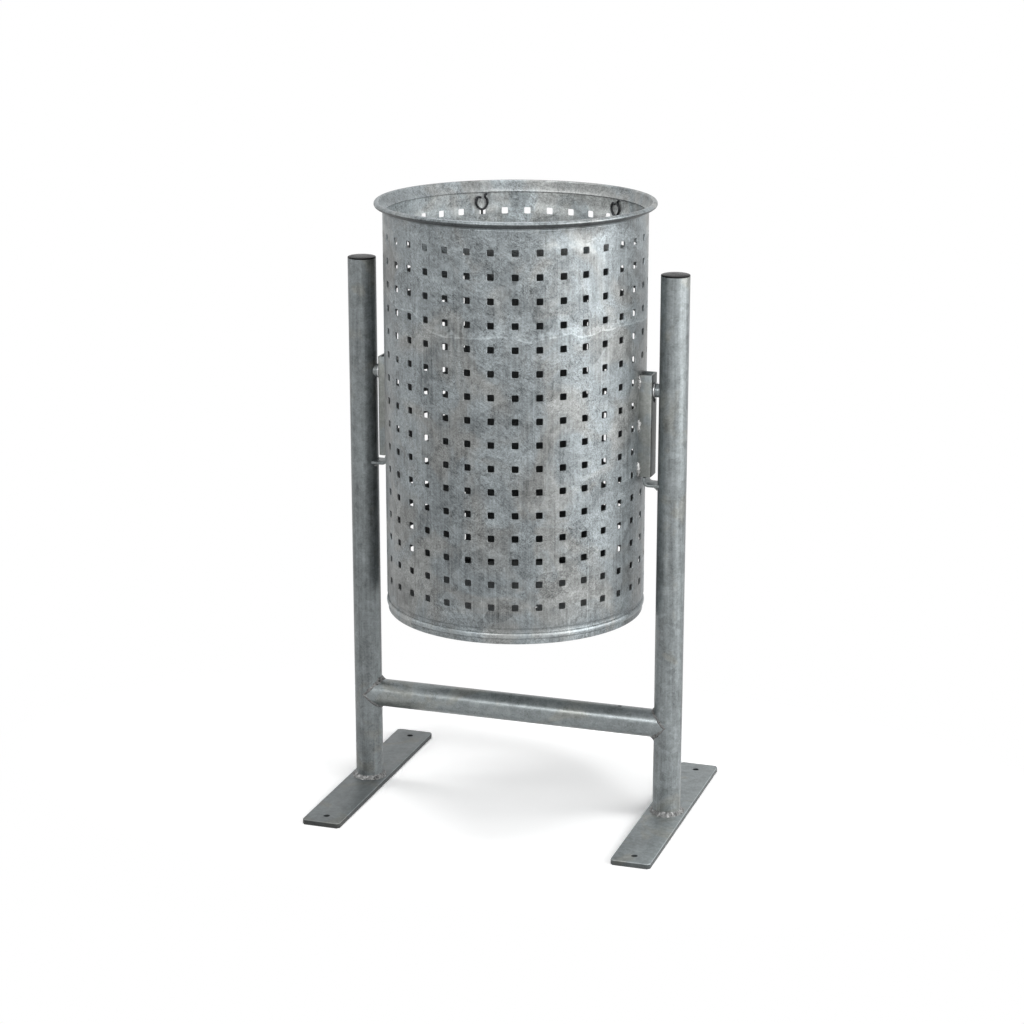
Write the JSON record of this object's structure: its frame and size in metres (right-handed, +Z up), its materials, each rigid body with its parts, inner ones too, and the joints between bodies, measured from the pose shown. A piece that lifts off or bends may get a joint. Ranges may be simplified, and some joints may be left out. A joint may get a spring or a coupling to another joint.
{
  "type": "litter bin on stand",
  "caption": "Round perforated galvanized litter bin with a flared rim, hung on bolts between the posts of a welded tube stand; it lifts off its lock tabs and tips over to empty.",
  "frame": {"origin": "on the ground, under the bin's axis, midway between the two foot plates", "axes": "+Z up along the posts and the bin's axis; +X along the cross bar to the right post; -Y to the front"},
  "size_m": [0.5424, 0.4116, 0.928],
  "materials": {
    "galvanized_sheet": "hot-dip galvanized, mottled grey spangle, half matt",
    "galvanized_tube": "hot-dip galvanized, dull grey with vertical streaks",
    "weld": "rough galvanized weld bead",
    "zinc_plated_bolt": "zinc plated, slightly dulled",
    "hook_wire": "dark grey wire, satin",
    "black_plastic": "moulded black plastic, fine grain"
  },
  "bodies": {
    "stand": {"right_post": "galvanized_tube", "right_post_cap": "black_plastic", "right_foot_plate": "galvanized_tube", "right_foot_weld": "weld", "right_cross_bar_weld": "weld", "right_pivot_boss": "galvanized_tube", "right_pivot_bolt": "zinc_plated_bolt", "right_lock_tab": "galvanized_tube", "right_lock_tab_weld": "weld", "left_post": "galvanized_tube", "left_post_cap": "black_plastic", "left_foot_plate": "galvanized_tube", "left_foot_weld": "weld", "left_cross_bar_weld": "weld", "left_pivot_boss": "galvanized_tube", "left_pivot_bolt": "zinc_plated_bolt", "left_lock_tab": "galvanized_tube", "left_lock_tab_weld": "weld", "cross_bar": "galvanized_tube"},
    "pivot_washers": {"right_outer_washer": "zinc_plated_bolt", "right_inner_washer": "zinc_plated_bolt", "left_outer_washer": "zinc_plated_bolt", "left_inner_washer": "zinc_plated_bolt"},
    "bin": {"bin_wall": "galvanized_sheet", "bin_floor": "galvanized_sheet", "right_channel": "galvanized_sheet", "left_channel": "galvanized_sheet", "right_channel_weld_near_1": "weld", "right_channel_weld_near_2": "weld", "right_channel_weld_near_3": "weld", "right_channel_weld_far_1": "weld", "right_channel_weld_far_2": "weld", "right_channel_weld_far_3": "weld", "left_channel_weld_near_1": "weld", "left_channel_weld_near_2": "weld", "left_channel_weld_near_3": "weld", "left_channel_weld_far_1": "weld", "left_channel_weld_far_2": "weld", "left_channel_weld_far_3": "weld", "bag_hook_back_right": "hook_wire", "bag_hook_back_left": "hook_wire", "bag_hook_front_left": "hook_wire", "bag_hook_front_right": "hook_wire"}
  },
  "joints": [
    {"name": "bin_tip", "type": "hinge", "parent": "stand", "child": "pivot_washers", "pos_m": [0, 0, 0.66], "axis": [1, 0, 0], "continuous": true},
    {"name": "bin_lift", "type": "slide", "parent": "pivot_washers", "child": "bin", "axis": [0, 0, 1], "range_m": [0, 0.012]}
  ]
}
